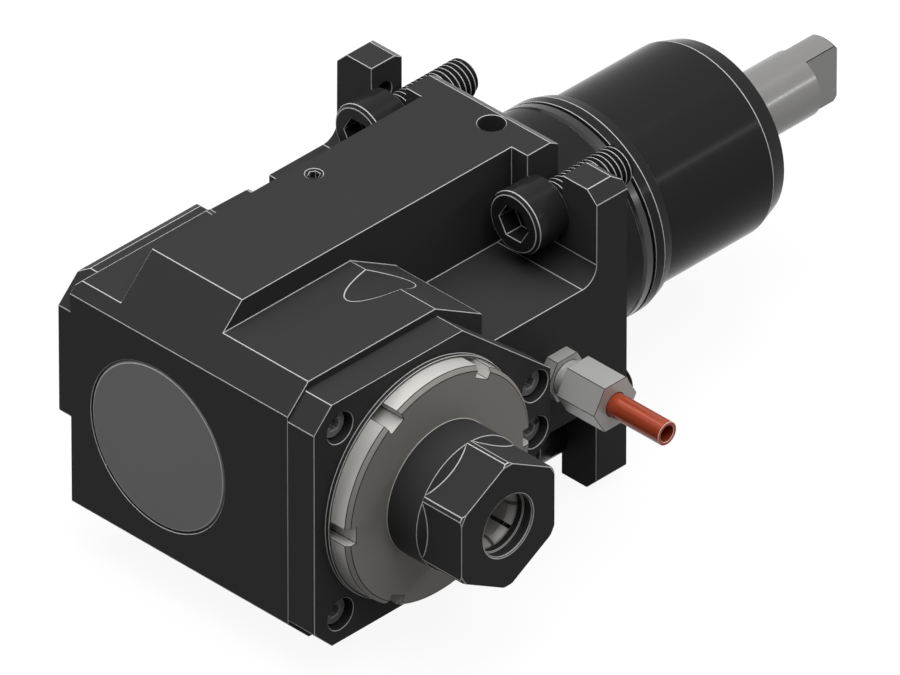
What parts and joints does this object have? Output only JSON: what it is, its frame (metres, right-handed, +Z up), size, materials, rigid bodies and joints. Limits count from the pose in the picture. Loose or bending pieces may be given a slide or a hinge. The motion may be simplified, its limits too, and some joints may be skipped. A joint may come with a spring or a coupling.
{
  "type": "live tool holder",
  "caption": "Right-angle driven tool holder: flanged block with pilot and drive tang, bevel-geared spindle with collet nut, and side coolant tube.",
  "frame": {"origin": "on the shank axis, in the flange's seating face", "axes": "+Y along the shank to the drive tang, +X along the spindle to the tool, +Z up"},
  "size_m": [0.1202, 0.2174, 0.0828],
  "materials": {
    "black_steel": "black oxide, satin, fine milling marks",
    "cap_steel": "turned, dark grey oxide",
    "screw_steel": "black oxide, smooth",
    "ground_steel": "ground and turned bare steel",
    "ring_steel": "turned bare steel, warm grey",
    "bearing_steel": "polished",
    "plated_steel": "zinc plated",
    "copper": "drawn copper tube, satin",
    "seal_rubber": "matt black"
  },
  "bodies": {
    "housing": {"housing": "black_steel", "front_cap": "cap_steel", "front_cap_o_ring": "seal_rubber", "bearing_flange": "black_steel", "bearing_flange_screws": "screw_steel", "bearing_ring_nut": "ground_steel", "spindle_seal": "seal_rubber", "rear_cover": "black_steel", "rear_cover_screws": "screw_steel", "input_bearing_ring": "ground_steel", "shaft_seal": "seal_rubber", "shank_circlip": "ground_steel", "shank_o_ring": "seal_rubber", "grease_plug": "screw_steel", "coolant_fitting": "plated_steel", "coolant_port_o_ring": "seal_rubber", "front_bearing_1_outer": "bearing_steel", "front_bearing_2_outer": "bearing_steel", "rear_bearing_outer": "bearing_steel", "input_bearing_1_outer": "bearing_steel", "input_bearing_2_outer": "bearing_steel", "shank_bearing_outer": "bearing_steel"},
    "spindle": {"spindle": "ground_steel", "spindle_lock_ring": "ring_steel", "spindle_bevel_gear": "ground_steel", "gear_key": "ground_steel", "gear_spacer": "ground_steel", "spindle_circlip": "ground_steel", "front_bearing_1_inner": "bearing_steel", "front_bearing_1_balls": "bearing_steel", "front_bearing_2_inner": "bearing_steel", "front_bearing_2_balls": "bearing_steel", "rear_bearing_inner": "bearing_steel", "rear_bearing_balls": "bearing_steel"},
    "input_shaft": {"input_shaft": "ground_steel", "input_lock_nut": "ground_steel", "shaft_circlip": "ground_steel", "input_bearing_1_inner": "bearing_steel", "input_bearing_1_balls": "bearing_steel", "input_bearing_2_inner": "bearing_steel", "input_bearing_2_balls": "bearing_steel", "shank_bearing_inner": "bearing_steel", "shank_bearing_balls": "bearing_steel"},
    "collet": {"collet": "ground_steel"},
    "collet_nut": {"collet_nut": "black_steel"},
    "coolant_tube": {"coolant_tube": "copper", "coolant_cutting_ring": "plated_steel"},
    "union_nut": {"coolant_union_nut": "plated_steel"},
    "clamp_screw_1": {"clamp_screw_1": "screw_steel"},
    "clamp_screw_2": {"clamp_screw_2": "screw_steel"},
    "clamp_screw_3": {"clamp_screw_3": "screw_steel"},
    "clamp_screw_4": {"clamp_screw_4": "screw_steel"}
  },
  "joints": [
    {"name": "spindle_turn", "type": "hinge", "parent": "housing", "child": "spindle", "pos_m": [0, -0.0755, 0], "axis": [1, 0, 0], "continuous": true},
    {"name": "input_shaft_turn", "type": "hinge", "parent": "housing", "child": "input_shaft", "pos_m": [0, 0, 0], "axis": [0, 1, 0], "continuous": true},
    {"name": "collet_slide", "type": "slide", "parent": "spindle", "child": "collet", "axis": [1, 0, 0], "range_m": [0, 0.00605]},
    {"name": "collet_nut_turn", "type": "hinge", "parent": "collet", "child": "collet_nut", "pos_m": [0.07, -0.0755, 0], "axis": [1, 0, 0], "range_deg": [0, 1440]},
    {"name": "coolant_tube_slide", "type": "slide", "parent": "housing", "child": "coolant_tube", "axis": [1, 0, 0], "range_m": [0, 0.00505]},
    {"name": "union_nut_turn", "type": "hinge", "parent": "coolant_tube", "child": "union_nut", "pos_m": [0.0545, -0.0229, -0.0012], "axis": [1, 0, 0], "range_deg": [0, 1800]},
    {"name": "clamp_screw_1_slide", "type": "slide", "parent": "housing", "child": "clamp_screw_1", "axis": [0, -1, 0], "range_m": [0, 0.024]},
    {"name": "clamp_screw_2_slide", "type": "slide", "parent": "housing", "child": "clamp_screw_2", "axis": [0, -1, 0], "range_m": [0, 0.024]},
    {"name": "clamp_screw_3_slide", "type": "slide", "parent": "housing", "child": "clamp_screw_3", "axis": [0, -1, 0], "range_m": [0, 0.024]},
    {"name": "clamp_screw_4_slide", "type": "slide", "parent": "housing", "child": "clamp_screw_4", "axis": [0, -1, 0], "range_m": [0, 0.024]}
  ],
  "couplings": [
    {"joint": "input_shaft_turn", "follows": "spindle_turn", "ratio": -1},
    {"joint": "collet_slide", "follows": "collet_nut_turn", "m_per_rad": 0.00023873},
    {"joint": "coolant_tube_slide", "follows": "union_nut_turn", "m_per_rad": 0.00015915}
  ]
}
